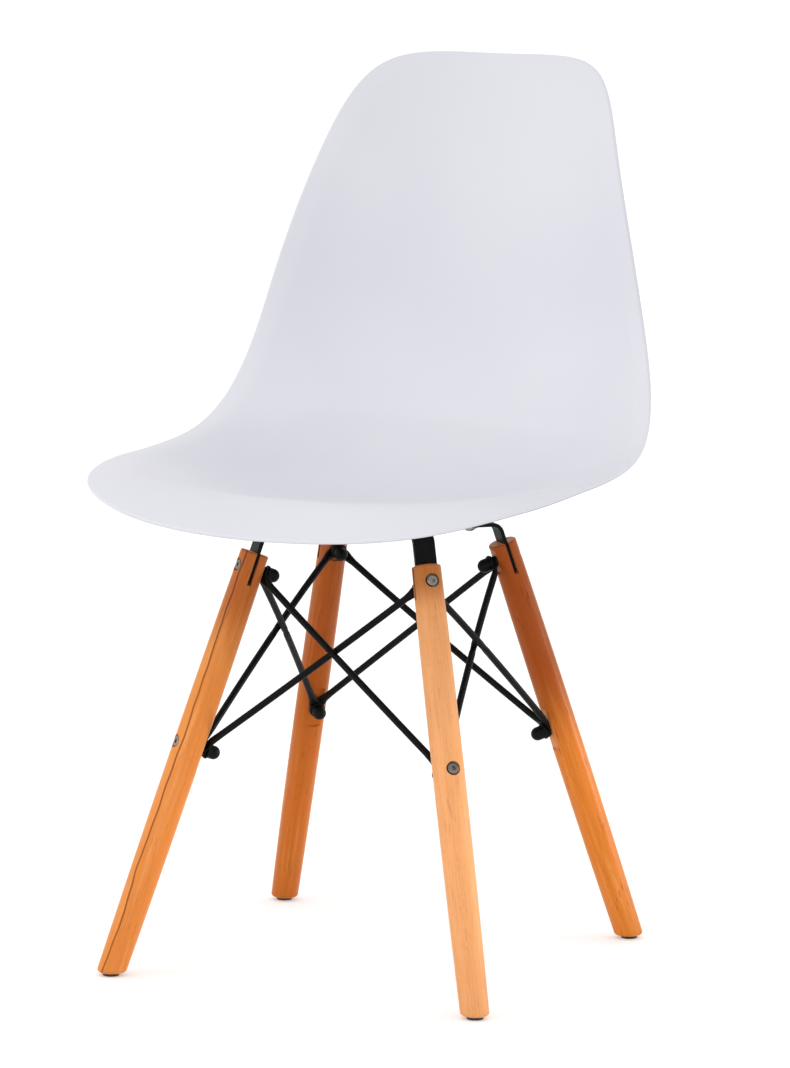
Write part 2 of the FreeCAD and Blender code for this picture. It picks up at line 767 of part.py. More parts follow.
def all_pieces():
    # Every node of the chair by name, about the middle of the legs
    pieces = {"seat_shell": seat_shell()}
    places = fixing_points()
    tops = [upper_bar_top, upper_bar_top, lower_bar_top, lower_bar_top]
    fixings = [(x, y, top) for (x, y), top in zip(places, tops)]
    pieces["shell_inserts"] = Part.makeCompound([insert(x, y) for x, y in places])
    pieces["upper_bar_pads"] = Part.makeCompound([pad(*fixing) for fixing in fixings[:2]])
    pieces["lower_bar_pads"] = Part.makeCompound([pad(*fixing) for fixing in fixings[2:]])
    pieces["seat_screws"] = Part.makeCompound([seat_screw(*fixing) for fixing in fixings])
    pieces["seat_screw_washers"] = Part.makeCompound([screw_washer(*fixing) for fixing in fixings])
    pieces["frame_bar_upper"] = turned(bar(upper_bar_top), leg_angles["back_left"])
    pieces["frame_bar_lower"] = turned(bar(lower_bar_top), leg_angles["back_right"])
    pieces["frame_rivet"] = rivet()
    one_leg = leg()
    one_glide = glide()
    for name in leg_order:
        pieces["leg_" + name] = turned(one_leg, leg_angles[name])
        pieces["glide_" + name] = turned(one_glide, leg_angles[name])
    pieces["glide_nails"] = four_times(nail_shape(0.0))
    for level, place in (("upper", upper_bolt_place), ("lower", lower_bolt_place)):
        pieces[level + "_leg_bolts"] = four_times(leg_bolt(place))
        pieces[level + "_bolt_washers"] = four_times(leg_washer(place))
        pieces[level + "_dome_nuts"] = four_times(dome_nut(place))
    for index, side in enumerate(("front", "right", "back", "left")):
        first = leg_order[index]
        second = leg_order[(index + 1) % 4]
        pieces["brace_" + side + "_outer"] = brace(first, second, 0)
        pieces["brace_" + side + "_inner"] = brace(second, first, 1)
    return pieces


def main():
    os.makedirs("parts", exist_ok=True)
    pieces = all_pieces()
    depths = [point.y for point in pieces["seat_shell"].tessellate(middle_accuracy)[0]]
    middle = 0.5 * (min(depths) + max(depths))
    for name, shape in pieces.items():
        shape.translate(Vector(0, -middle, 0))
        shape.exportStep("parts/" + name + ".step")
        print(name, "solids", len(shape.Solids), "valid", shape.isValid(), "volume", round(shape.Volume))
    print("middle of the legs at Y", round(-middle, 3))


main()
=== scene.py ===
import bpy
import math
import numpy as np
from mathutils import Matrix, Vector
from mathutils.bvhtree import BVHTree


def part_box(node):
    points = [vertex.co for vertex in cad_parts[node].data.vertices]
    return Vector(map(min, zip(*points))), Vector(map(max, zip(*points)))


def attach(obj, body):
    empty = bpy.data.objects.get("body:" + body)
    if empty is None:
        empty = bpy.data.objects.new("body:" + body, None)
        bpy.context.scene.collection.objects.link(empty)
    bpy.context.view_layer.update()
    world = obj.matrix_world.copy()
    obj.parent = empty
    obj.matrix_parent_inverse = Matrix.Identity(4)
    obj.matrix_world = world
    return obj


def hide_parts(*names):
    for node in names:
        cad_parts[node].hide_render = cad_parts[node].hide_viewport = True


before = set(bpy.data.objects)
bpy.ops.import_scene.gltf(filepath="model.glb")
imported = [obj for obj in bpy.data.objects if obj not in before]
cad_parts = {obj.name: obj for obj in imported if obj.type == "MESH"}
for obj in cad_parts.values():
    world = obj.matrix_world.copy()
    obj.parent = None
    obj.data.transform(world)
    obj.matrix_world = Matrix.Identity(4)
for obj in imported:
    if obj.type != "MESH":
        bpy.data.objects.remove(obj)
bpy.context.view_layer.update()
print("frame loaded:", len(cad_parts), "nodes")

mm = 0.001
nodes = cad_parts


def boxCentre(node):
    low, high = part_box(node)
    return [0.5 * (a + b) for a, b in zip(low, high)]


# the middle of the four legs, and the height of the bosses' lower ends, as the frame has them
legsMiddle = Vector((0.0, boxCentre("frame_rivet")[1], 0.0))
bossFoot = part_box("shell_inserts")[0][2]


# node helpers

bevelSamples = 4  # rays for each softened edge
# the Mix node's colour sockets go by number
mixFactor, mixFirst, mixSecond, mixResult = 0, 6, 7, 2


def hexColor(text):
    # sRGB like "e0dfea" to the linear colour a socket wants
    parts = [int(text[i:i + 2], 16) / 255 for i in (0, 2, 4)]
    linear = [p / 12.92 if p <= 0.04045 else ((p + 0.055) / 1.055) ** 2.4 for p in parts]
    return (*linear, 1.0)


class Tree:
    # thin wrapper that adds nodes and links them by socket name or number
    def __init__(self, tree):
        self.tree = tree

    def add(self, kind, values=None, **settings):
        node = self.tree.nodes.new(kind)
        for key, value in settings.items():
            setattr(node, key, value)
        for key, value in (values or {}).items():
            socket = node.inputs[key]
            if isinstance(value, bpy.types.NodeSocket):
                self.tree.links.new(value, socket)
            else:
                socket.default_value = value
        return node

    def link(self, source, target):
        self.tree.links.new(source, target)

    def math(self, operation, a, b=0.0, clamp=False):
        values = {0: a, 1: b}
        return self.add("ShaderNodeMath", values, operation=operation, use_clamp=clamp).outputs[0]

    def weigh(self, a, shareA, b, shareB):
        # sum of two values, each times its share
        return self.math("ADD", self.math("MULTIPLY", a, shareA), self.math("MULTIPLY", b, shareB))

    def vector(self, operation, a, b=(0, 0, 0)):
        return self.add("ShaderNodeVectorMath", {0: a, 1: b}, operation=operation).outputs

    def mix(self, factor, a, b, blend="MIX"):
        values = {mixFactor: factor, mixFirst: a, mixSecond: b}
        node = self.add("ShaderNodeMix", values, data_type="RGBA", blend_type=blend)
        return node.outputs[mixResult]

    def band(self, value, low, high, outLow=0.0, outHigh=1.0):
        # smooth step of a value between two limits
        values = {"Value": value, "From Min": low, "From Max": high, "To Min": outLow,
                  "To Max": outHigh}
        return self.add("ShaderNodeMapRange", values, interpolation_type="SMOOTHSTEP").outputs[0]

    def noise(self, vector, scale, detail=3.0, rough=0.5, distort=0.0):
        values = {"Vector": vector, "Scale": scale, "Detail": detail, "Roughness": rough,
                  "Distortion": distort}
        return self.add("ShaderNodeTexNoise", values).outputs[0]


socketKinds = {"color": "NodeSocketColor", "value": "NodeSocketFloat", "vector": "NodeSocketVector"}


def newGroup(name, inputs, outputs):
    tree = bpy.data.node_groups.new(name, "ShaderNodeTree")
    for label, kind, default in inputs:
        socket = tree.interface.new_socket(label, in_out="INPUT", socket_type=socketKinds[kind])
        socket.default_value = default
    for label, kind in outputs:
        tree.interface.new_socket(label, in_out="OUTPUT", socket_type=socketKinds[kind])
    t = Tree(tree)
    start = t.add("NodeGroupInput").outputs
    end = t.add("NodeGroupOutput").inputs
    return tree, t, start, end


def newMaterial(name):
    material = bpy.data.materials.new(name)
    material.use_nodes = True
    material.node_tree.nodes.clear()
    t = Tree(material.node_tree)
    out = t.add("ShaderNodeOutputMaterial")
    shader = t.add("ShaderNodeBsdfPrincipled")
    t.link(shader.outputs[0], out.inputs[0])
    place = t.add("ShaderNodeTexCoord").outputs["Object"]
    return material, t, shader, place


def useGroup(t, group, values):
    return t.add("ShaderNodeGroup", values, node_tree=group).outputs


# shared effects: sizes first, then the group that uses them
# noise is (detail, roughness, distortion), and a pair or a four is a smooth step's limits

skinOutputs = [("Color", "color"), ("Height", "value"), ("Gloss", "value")]

wearSizes = {"turned": (0.01, 0.12), "chipNoise": (5.0, 0.6), "chips": (0.42, 0.66)}


def makeEdgeWear(sizes):
    # mask of worn edges, broken up by noise
    inputs = [("Vector", "vector", (0, 0, 0)), ("Width", "value", 0.001),
              ("Breakup", "value", 300.0), ("Amount", "value", 0.5)]
    tree, t, start, end = newGroup("edgeWear", inputs, [("Mask", "value")])
    soft = t.add("ShaderNodeBevel", {"Radius": start["Width"]}, samples=bevelSamples).outputs[0]
    true = t.add("ShaderNodeNewGeometry").outputs["Normal"]
    turned = t.math("SUBTRACT", 1.0, t.vector("DOT_PRODUCT", soft, true)["Value"])
    chips = t.noise(start["Vector"], start["Breakup"], *sizes["chipNoise"])
    worn = t.math("MULTIPLY", t.band(turned, *sizes["turned"]), t.band(chips, *sizes["chips"]))
    t.link(t.math("MULTIPLY", worn, start["Amount"], clamp=True), end["Mask"])
    return tree


filmSizes = {"wideNoise": (4.0, 0.55, 0.4), "wide": (0.38, 0.68), "fineTimes": 23.0,
             "fineNoise": (2.0,), "fine": (0.2, 0.8, 0.55, 1.0)}


def makeHandledFilm(sizes):
    # faint uneven film: a mask that shows on colour and roughness
    inputs = [("Vector", "vector", (0, 0, 0)), ("Scale", "value", 6.0), ("Amount", "value", 0.2)]
    tree, t, start, end = newGroup("handledFilm", inputs, [("Mask", "value")])
    wide = t.noise(start["Vector"], start["Scale"], *sizes["wideNoise"])
    fineScale = t.math("MULTIPLY", start["Scale"], sizes["fineTimes"])
    fine = t.noise(start["Vector"], fineScale, *sizes["fineNoise"])
    both = t.math("MULTIPLY", t.band(wide, *sizes["wide"]), t.band(fine, *sizes["fine"]))
    t.link(t.math("MULTIPLY", both, start["Amount"]), end["Mask"])
    return tree


mouldSizes = {"uneven": 0.9, "pebbleHeight": -0.5, "fineTimes": 0.6, "fineNoise": (3.0,),
              "swellNoise": (2.0, 0.4, 0.6), "swell": (0.3, 0.7), "swellGloss": 0.6,
              "fineGloss": 0.4}


def makeMouldSkin(sizes):
    # fine moulded texture: tiny even pebbles, and a slow swell in tone and gloss
    inputs = [("Vector", "vector", (0, 0, 0)), ("Color", "color", (0.8, 0.8, 0.8, 1)),
              ("Shade", "color", (0.7, 0.7, 0.7, 1)), ("Pebble", "value", 1500.0),
              ("Flow", "value", 7.0)]
    tree, t, start, end = newGroup("mouldSkin", inputs, skinOutputs)
    values = {"Vector": start["Vector"], "Scale": start["Pebble"], "Randomness": sizes["uneven"]}
    pebble = t.add("ShaderNodeTexVoronoi", values, feature="SMOOTH_F1").outputs["Distance"]
    fineScale = t.math("MULTIPLY", start["Pebble"], sizes["fineTimes"])
    fine = t.noise(start["Vector"], fineScale, *sizes["fineNoise"])
    swell = t.noise(start["Vector"], start["Flow"], *sizes["swellNoise"])
    height = t.math("ADD", t.math("MULTIPLY", pebble, sizes["pebbleHeight"]), fine)
    t.link(height, end["Height"])
    t.link(t.mix(t.band(swell, *sizes["swell"]), start["Color"], start["Shade"]), end["Color"])
    t.link(t.weigh(swell, sizes["swellGloss"], fine, sizes["fineGloss"]), end["Gloss"])
    return tree


# repeats is how often a pattern comes in a metre, across and along the leg
beechPatterns = {
    "waver": {"repeats": (18.0, 18.0, 5.0), "noise": (2.0,)},
    "growthPatch": {"repeats": (90.0, 90.0, 9.0), "noise": (2.0,), "shown": (0.4, 0.7)},
    "fibre": {"repeats": (900.0, 900.0, 22.0), "noise": (4.0, 0.6), "shown": (0.46, 0.72)},
    "broad": {"repeats": (150.0, 150.0, 6.0), "noise": (3.0, 0.5, 0.3)},
    "fleck": {"repeats": (1500.0, 1500.0, 170.0), "noise": (2.0,), "shown": (0.63, 0.72)},
    "streak": {"repeats": (620.0, 620.0, 52.0), "noise": (2.0,), "shown": (0.6, 0.7)},
    "streakPatch": {"repeats": (60.0, 60.0, 16.0), "noise": (2.0,), "shown": (0.5, 0.62)},
    "lineBend": {"repeats": (4.0, 4.0, 11.0), "noise": (2.0, 0.6)},
}
beechSizes = {
    "growthStretch": (1.0, 1.0, 0.02), "waverTurns": 5.0, "growth": (0.05, 0.5),
    "lineSwing": 0.011, "line": (0.0003, 0.0011, 1.0, 0.0), "beside": (-0.0015, 0.0, 1.0, 0.0),
    "growthTone": 0.25, "broadTone": 0.6, "tone": (0.22, 0.78),
    # how strongly each layer colours what lies under it
    "fibreDark": 0.2, "besideLitShare": 0.45, "fleckDark": 0.28, "streakDark": 0.7, "lineDark": 0.9,
    "fibreHeight": 0.7, "fleckHeight": -0.8, "fibreGloss": 0.5, "broadGloss": 0.5,
}


def makeBeechGrain(patterns, sizes):
    # beech: long growth bands, silky fibres, short dark flecks and one darker line along the leg
    inputs = [("Vector", "vector", (0, 0, 0)), ("Light", "color", (0.8, 0.5, 0.3, 1)),
              ("Middle", "color", (0.7, 0.4, 0.2, 1)), ("Dark", "color", (0.4, 0.2, 0.1, 1)),
              ("Seed", "vector", (0, 0, 0)), ("Band Centre", "vector", (0.05, 0, 0)),
              ("Band Count", "value", 260.0), ("Line Side", "vector", (1, 0, 0)),
              ("Line Place", "value", 0.0), ("Line Amount", "value", 0.0),
              ("Streaks", "value", 0.5), ("Pale And Lit", "value", 0.0),
              ("Pale Tone", "color", (0.9, 0.5, 0.2, 1))]
    tree, t, start, end = newGroup("beechGrain", inputs, skinOutputs)
    place = t.vector("ADD", start["Vector"], start["Seed"])["Vector"]
    found, shown = {}, {}
    for name, look in patterns.items():
        stretched = t.vector("MULTIPLY", place, look["repeats"])["Vector"]
        found[name] = t.noise(stretched, 1.0, *look["noise"])
        if "shown" in look:
            shown[name] = t.band(found[name], *look["shown"])
    # growth bands: distance from a line beside the leg, with a slow waver
    toCentre = t.vector("SUBTRACT", start["Vector"], start["Band Centre"])["Vector"]
    stretched = t.vector("MULTIPLY", toCentre, sizes["growthStretch"])["Vector"]
    reach = t.vector("LENGTH", stretched)["Value"]
    waver = t.math("SUBTRACT", found["waver"], 0.5)
    turns = t.weigh(reach, start["Band Count"], waver, sizes["waverTurns"])
    growth = t.band(t.math("PINGPONG", turns, 0.5), *sizes["growth"])
    growth = t.math("MULTIPLY", growth, shown["growthPatch"])
    # sparse dark streaks, in patches
    streaks = t.math("MULTIPLY", shown["streak"], shown["streakPatch"])
    streaks = t.math("MULTIPLY", streaks, start["Streaks"])
    # the single darker line, and on one side of it lighter wood, partly its own and partly painted
    # highlight
    side = t.vector("DOT_PRODUCT", start["Vector"], start["Line Side"])["Value"]
    bend = t.math("MULTIPLY", t.math("SUBTRACT", found["lineBend"], 0.5), sizes["lineSwing"])
    offLine = t.math("SUBTRACT", t.math("ADD", side, bend), start["Line Place"])
    line = t.band(t.math("ABSOLUTE", offLine), *sizes["line"])
    line = t.math("MULTIPLY", line, start["Line Amount"])
    beside = t.math("MULTIPLY", t.band(offLine, *sizes["beside"]), start["Line Amount"])
    # colours, from the broad tone to the dark line
    tone = t.weigh(growth, sizes["growthTone"], found["broad"], sizes["broadTone"])
    base = t.mix(t.band(tone, *sizes["tone"]), start["Middle"], start["Light"])
    # paler tone, partly the leg's own and partly painted light on a leg that stands in the light
    base = t.mix(start["Pale And Lit"], base, start["Pale Tone"])
    layers = ((shown["fibre"], "fibreDark", "Dark"), (beside, "besideLitShare", "Light"),
              (shown["fleck"], "fleckDark", "Dark"), (streaks, "streakDark", "Dark"),
              (line, "lineDark", "Dark"))
    for mask, share, color in layers:
        base = t.mix(t.math("MULTIPLY", mask, sizes[share]), base, start[color])
    t.link(base, end["Color"])
    height = t.weigh(found["fibre"], sizes["fibreHeight"], shown["fleck"], sizes["fleckHeight"])
    t.link(t.math("SUBTRACT", height, line), end["Height"])
    gloss = t.weigh(found["fibre"], sizes["fibreGloss"], found["broad"], sizes["broadGloss"])
    t.link(gloss, end["Gloss"])
    return tree


coatSizes = {"peelNoise": (3.0, 0.55), "driftTimes": 0.04, "driftNoise": (3.0,),
             "drift": (0.3, 0.72), "driftGloss": 0.6, "peelGloss": 0.4}


def makeCoatSkin(sizes):
    # baked coating, plating or rubber: fine orange peel and a slow drift in tone
    inputs = [("Vector", "vector", (0, 0, 0)), ("Color", "color", (0.02, 0.02, 0.02, 1)),
              ("Drift", "color", (0.04, 0.04, 0.04, 1)), ("Peel", "value", 900.0)]
    tree, t, start, end = newGroup("coatSkin", inputs, skinOutputs)
    peel = t.noise(start["Vector"], start["Peel"], *sizes["peelNoise"])
    driftScale = t.math("MULTIPLY", start["Peel"], sizes["driftTimes"])
    drift = t.noise(start["Vector"], driftScale, *sizes["driftNoise"])
    t.link(t.mix(t.band(drift, *sizes["drift"]), start["Color"], start["Drift"]), end["Color"])
    t.link(peel, end["Height"])
    t.link(t.weigh(drift, sizes["driftGloss"], peel, sizes["peelGloss"]), end["Gloss"])
    return tree


edgeWear = makeEdgeWear(wearSizes)
handledFilm = makeHandledFilm(filmSizes)
mouldSkin = makeMouldSkin(mouldSizes)
beechGrain = makeBeechGrain(beechPatterns, beechSizes)
coatSkin = makeCoatSkin(coatSizes)


# materials: bump is strength, depth and the width of its softened edges, both in metres

glossRange = (0.3, 0.7)  # between these limits a skin's gloss goes from rough's first to its second


def wearMask(t, place, look):
    return useGroup(t, edgeWear, {"Vector": place, "Width": look["wearWidth"],
                                  "Breakup": look["wearBreakup"],
                                  "Amount": look["wearAmount"]})["Mask"]


def filmMask(t, place, look):
    return useGroup(t, handledFilm, {"Vector": place, "Scale": look["filmScale"],
                                     "Amount": look["filmAmount"]})["Mask"]


def giveBump(t, shader, height, strength, depth, softEdge=0.0):
    bump = t.add("ShaderNodeBump", {"Height": height, "Strength": strength, "Distance": depth})
    if softEdge > 0:
        soft = t.add("ShaderNodeBevel", {"Radius": softEdge}, samples=bevelSamples)
        t.link(soft.outputs[0], bump.inputs["Normal"])
    t.link(bump.outputs[0], shader.inputs["Normal"])


def setConstants(shader, values):
    for label, value in values.items():
        shader.inputs[label].default_value = value


def finishMaterial(t, shader, look, color, skin, film):
    # what every finish ends with: its colour, roughness with film on it, bump and constants
    t.link(color, shader.inputs["Base Color"])
    rough = t.band(skin["Gloss"], *glossRange, *look["rough"])
    t.link(t.math("ADD", rough, film), shader.inputs["Roughness"])
    giveBump(t, shader, skin["Height"], *look["bump"])
    setConstants(shader, look["shader"])


shellPlasticLook = {
    # the rim's own colour b4b4bd is painted shade on the trimmed rim's lower corner
    "color": "e4e4eb", "shade": "e1e1e9", "film": "dcdce3", "worn": "dddde4", "edge": "b4b4bd",
    "edgeFade": (0.3, 0.9), "pebble": 1300.0, "flow": 5.0, "rough": (0.4, 0.5),
    "bump": (0.12, 0.0002), "filmScale": 5.0, "filmAmount": 0.14, "filmRough": 0.25,
    "wearWidth": 0.0015, "wearBreakup": 160.0, "wearAmount": 0.25,
    "shader": {"Specular IOR Level": 0.45, "Subsurface Weight": 0.05,
               "Subsurface Radius": (0.004, 0.004, 0.004)},
}


def makeShellPlastic(look):
    material, t, shader, place = newMaterial("shellPlastic")
    skin = useGroup(t, mouldSkin, {"Vector": place, "Color": hexColor(look["color"]),
                                   "Shade": hexColor(look["shade"]), "Pebble": look["pebble"],
                                   "Flow": look["flow"]})
    film = filmMask(t, place, look)
    color = t.mix(film, skin["Color"], hexColor(look["film"]))
    color = t.mix(wearMask(t, place, look), color, hexColor(look["worn"]))
    # painted shade: the rim's lower corner is darkened towards the rim shade colour
    rim = t.add("ShaderNodeAttribute", attribute_name="rimPaintedShade").outputs["Fac"]
    color = t.mix(t.band(rim, *look["edgeFade"]), color, hexColor(look["edge"]))
    film = t.math("MULTIPLY", film, look["filmRough"])
    finishMaterial(t, shader, look, color, skin, film)
    return material


beechLook = {
    # the pale colour is partly the wood's own paler tone and partly painted light
    "light": "ee9a4a", "middle": "dc7c24", "dark": "7c3808", "paleAndLit": "f8ba82", "worn": "f2ba88",
    "deepenedAndShaded": "be9d5c", "bandCount": 150.0, "rough": (0.36, 0.52),
    "bump": (0.25, 0.0003, 0.0006), "filmScale": 14.0, "filmAmount": 0.18,
    "wearWidth": 0.0012, "wearBreakup": 220.0, "wearAmount": 0.5,
    "endGrain": (-0.0022, -0.0008), "endDeep": (0.0, 0.6),  # the cut top end is deeper in tone
    "shader": {"Specular IOR Level": 0.15, "Coat Weight": 0.1, "Coat Roughness": 0.3,
               "Sheen Weight": 0.9, "Sheen Roughness": 0.35, "Sheen Tint": hexColor("ffca98")},
}
# what differs from leg to leg: where its grain was cut, the single dark line, streaks and paleness
# (partly the leg's own tone, partly painted light), and how much deeper the tone is at both ends of
# a range, in metres up from the leg's top: painted shade from the seat, strongest at the top, and
# on the back left leg a deeper tone all along, partly its own and partly painted shade
legLooks = {
    "front_left": {"seed": (0.31, 0.12, 0.05), "centre": (0.06, 0.045, 0),
                   "linePlace": -0.0072, "lineAmount": 1.0, "streaks": 0.4, "paleAndLit": 0.12,
                   "seatShadeRange": (-0.11, -0.04), "deepAndShade": (0.0, 0.75)},
    "front_right": {"seed": (0.77, 0.42, 0.61), "centre": (-0.07, 0.03, 0),
                    "linePlace": 0.0015, "lineAmount": 0.0, "streaks": 0.3, "paleAndLit": 0.65,
                    "seatShadeRange": (-0.045, -0.012), "deepAndShade": (0.0, 0.85)},
    "back_right": {"seed": (1.13, 0.83, 0.27), "centre": (0.03, -0.06, 0),
                   "linePlace": 0.0035, "lineAmount": 0.0, "streaks": 1.0, "paleAndLit": 0.0,
                   "seatShadeRange": (-0.22, -0.12), "deepAndShade": (0.0, 1.0)},
    "back_left": {"seed": (1.91, 0.21, 0.93), "centre": (-0.05, -0.05, 0),
                  "linePlace": 0.004, "lineAmount": 0.0, "streaks": 0.6, "paleAndLit": 0.0,
                  "seatShadeRange": (-0.3, -0.1), "deepAndShade": (0.5, 0.9)},
}


def makeLegWood(name, look, own, matrix, lineSide):
    material, t, shader, place = newMaterial("beech_" + name)
    values = {"Vector": place, "Location": matrix.to_translation(),
              "Rotation": matrix.to_euler("XYZ")}
    along = t.add("ShaderNodeMapping", values, vector_type="TEXTURE").outputs[0]
    grain = useGroup(t, beechGrain, {
        "Vector": along, "Light": hexColor(look["light"]), "Middle": hexColor(look["middle"]),
        "Dark": hexColor(look["dark"]), "Pale Tone": hexColor(look["paleAndLit"]),
        "Band Count": look["bandCount"], "Seed": own["seed"], "Band Centre": own["centre"],
        "Line Side": lineSide, "Line Place": own["linePlace"],
        "Line Amount": own["lineAmount"], "Streaks": own["streaks"], "Pale And Lit": own["paleAndLit"]})
    film = filmMask(t, place, look)
    color = t.mix(wearMask(t, place, look), grain["Color"], hexColor(look["worn"]))
    color = t.mix(film, color, hexColor(look["middle"]))
    # painted shade: darker towards the top, where the seat's shadow falls, on top of the real
    # deeper tone of the cut top end
    height = t.add("ShaderNodeSeparateXYZ", {0: along}).outputs["Z"]
    deepAndShade = t.math("ADD", t.band(height, *own["seatShadeRange"], *own["deepAndShade"]),
                  t.band(height, *look["endGrain"], *look["endDeep"]), clamp=True)
    color = t.mix(deepAndShade, color, hexColor(look["deepenedAndShaded"]), "MULTIPLY")
    finishMaterial(t, shader, look, color, grain, film)
    return material


# finishes of the small parts: what all share, then each one's own
coatedShared = {"filmScale": 20.0, "filmAmount": 0.12, "wearBreakup": 500.0}
coatedLooks = {
    "blackSteel": {"color": "040404", "drift": "080808", "worn": "202021", "peel": 900.0,
                   "rough": (0.4, 0.55), "bump": (0.15, 0.0002, 0.0005),
                   "wearWidth": 0.001, "wearAmount": 0.3,
                   "shader": {"Metallic": 0.0, "Specular IOR Level": 0.12}},
    "boltZinc": {"color": "8f8a83", "drift": "6b655e", "worn": "c4c0ba", "peel": 1400.0,
                 "rough": (0.24, 0.42), "bump": (0.1, 0.0002, 0.0003),
                 "wearWidth": 0.0006, "wearAmount": 0.6,
                 "shader": {"Metallic": 1.0, "Specular IOR Level": 0.5}},
    "insertBrass": {"color": "c9a860", "drift": "a98a48", "worn": "e2c988", "peel": 1200.0,
                    "rough": (0.3, 0.45), "bump": (0.1, 0.0002, 0.0003),
                    "wearWidth": 0.0006, "wearAmount": 0.4,
                    "shader": {"Metallic": 1.0, "Specular IOR Level": 0.5}},
    "padRubber": {"color": "171717", "drift": "222222", "worn": "3a3a3a", "peel": 700.0,
                  "rough": (0.7, 0.85), "bump": (0.3, 0.0002, 0.0004),
                  "wearWidth": 0.0008, "wearAmount": 0.2,
                  "shader": {"Metallic": 0.0, "Specular IOR Level": 0.3}},
    "glideNylon": {"color": "3b3a3c", "drift": "2f2e30", "worn": "6a686a", "peel": 800.0,
                   "rough": (0.5, 0.66), "bump": (0.2, 0.0002, 0.0005),
                   "wearWidth": 0.001, "wearAmount": 0.5,
                   "shader": {"Metallic": 0.0, "Specular IOR Level": 0.4}},
}
# the carried-over solids that take each finish
coatedNodes = {
    "blackSteel": ["frame_bar_upper", "frame_bar_lower", "frame_rivet", "upper_dome_nuts",
                   "lower_dome_nuts"],
    "boltZinc": ["upper_leg_bolts", "lower_leg_bolts", "upper_bolt_washers",
                 "lower_bolt_washers", "glide_nails", "seat_screws", "seat_screw_washers"],
    "insertBrass": ["shell_inserts"],
    "padRubber": ["upper_bar_pads", "lower_bar_pads"],
    "glideNylon": ["glide_" + name for name in legLooks],
}


def makeCoated(name, look):
    material, t, shader, place = newMaterial(name)
    skin = useGroup(t, coatSkin, {"Vector": place, "Color": hexColor(look["color"]),
                                  "Drift": hexColor(look["drift"]), "Peel": look["peel"]})
    color = t.mix(wearMask(t, place, look), skin["Color"], hexColor(look["worn"]))
    finishMaterial(t, shader, look, color, skin, filmMask(t, place, look))
    return material


shellPlastic = makeShellPlastic(shellPlasticLook)
coated = {name: makeCoated(name, {**coatedShared, **look}) for name, look in coatedLooks.items()}


# the legs' own frames (millimetres, degrees), the camera (degrees, metres; lens and sensor in
# millimetres), and the painting of the solids

legSizes = {"topRadius": 119.5, "endRadius": 254.5, "topHeight": 380.0, "spread": 45.0}
legAngles = {
    "front_left": 180.0 + legSizes["spread"], "front_right": 360.0 - legSizes["spread"],
    "back_right": legSizes["spread"], "back_left": 180.0 - legSizes["spread"],
}
lean = math.atan2(legSizes["endRadius"] - legSizes["topRadius"], legSizes["topHeight"])

cameraSizes = {"azimuth": 24.52, "elevation": 8.38, "roll": 0.68, "distance": 4.6589,
               "sideways": 0.0139, "aimHeight": 0.392, "lens": 173.0, "sensor": 36.0,
               "clipEnd": 200.0}


def cameraAxes(look):
    # level side, then the picture's own side, up and back
    turn, tilt, roll = (math.radians(look[key]) for key in ("azimuth", "elevation", "roll"))
    side = Vector((math.cos(turn), math.sin(turn), 0))
    back = Vector((math.sin(turn) * math.cos(tilt), -math.cos(turn) * math.cos(tilt),
                   math.sin(tilt)))
    up = back.cross(side)
    rolledSide = side * math.cos(roll) + up * math.sin(roll)
    return side, rolledSide, up * math.cos(roll) - side * math.sin(roll), back


def legMatrix(name):
    # from a leg's own frame (Z up its axis from the top, X outwards) to the chair
    place = Matrix.Translation((legSizes["topRadius"] * mm, 0, legSizes["topHeight"] * mm))
    turned = Matrix.Rotation(math.radians(legAngles[name]), 4, "Z") @ place
    return Matrix.Translation(legsMiddle) @ turned @ Matrix.Rotation(-lean, 4, "Y")


def paint(node, material):
    # a carried-over solid takes one material
    piece = nodes[node]
    piece.data.materials.clear()
    piece.data.materials.append(material)


def paintSolids():
    across = cameraAxes(cameraSizes)[0]
    for name, own in legLooks.items():
        matrix = legMatrix(name)
        # a leg's dark line lies on one side of it, with lighter wood and painted highlight beyond
        # it on that side, so the way across is taken square to the leg
        lineSide = matrix.to_3x3().inverted() @ across
        lineSide.z = 0.0
        lineSide.normalize()
        paint("leg_" + name, makeLegWood(name, beechLook, own, matrix, lineSide))
    for finish, painted in coatedNodes.items():
        for node in painted:
            paint(node, coated[finish])


paintSolids()
print("materials made:", len(bpy.data.materials))


# the shell, in millimetres

